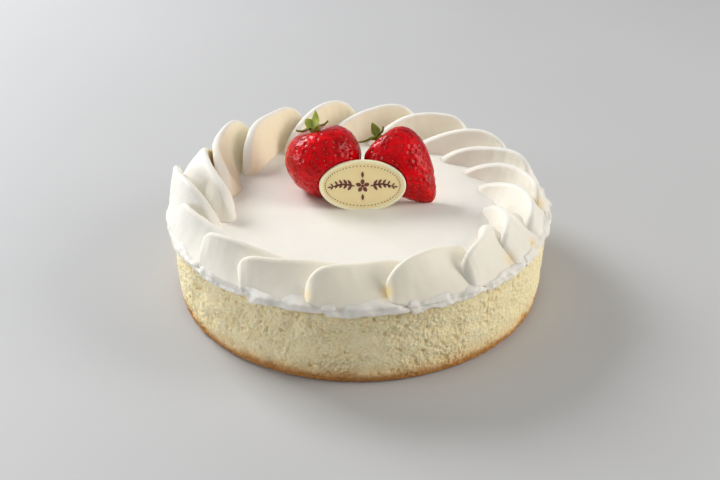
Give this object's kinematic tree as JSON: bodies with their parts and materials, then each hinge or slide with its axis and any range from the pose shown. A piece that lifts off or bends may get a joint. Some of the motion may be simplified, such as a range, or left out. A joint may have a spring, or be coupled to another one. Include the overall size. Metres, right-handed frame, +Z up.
{
  "type": "baked cheesecake",
  "caption": "Round baked cheesecake with a smooth cream top, a ring of piped cream petals, two strawberries and an oval chocolate plaque.",
  "frame": {"origin": "centre of the cake's flat underside", "axes": "+Z up through the cake; the plaque and the front of the cake look along -Y; +X to the right as seen from the front"},
  "size_m": [0.2086, 0.209, 0.0922],
  "materials": {
    "sponge": "matte porous baked crumb",
    "cream": "smooth satin whipped cream",
    "strawberry": "glossy glazed fruit skin with seeds",
    "leaf": "soft satin leaf",
    "chocolate": "satin moulded white chocolate"
  },
  "bodies": {
    "root": {"cheesecake": "sponge", "cream_layer": "cream", "petal_01": "cream", "petal_02": "cream", "petal_03": "cream", "petal_04": "cream", "petal_05": "cream", "petal_06": "cream", "petal_07": "cream", "petal_08": "cream", "petal_09": "cream", "petal_10": "cream", "petal_11": "cream", "petal_12": "cream", "petal_13": "cream", "petal_14": "cream", "petal_15": "cream", "petal_16": "cream", "petal_17": "cream", "petal_18": "cream", "strawberry_whole": "strawberry", "strawberry_whole_calyx": "leaf", "strawberry_half": "strawberry", "strawberry_half_calyx": "leaf", "plaque": "chocolate"}
  },
  "joints": []
}
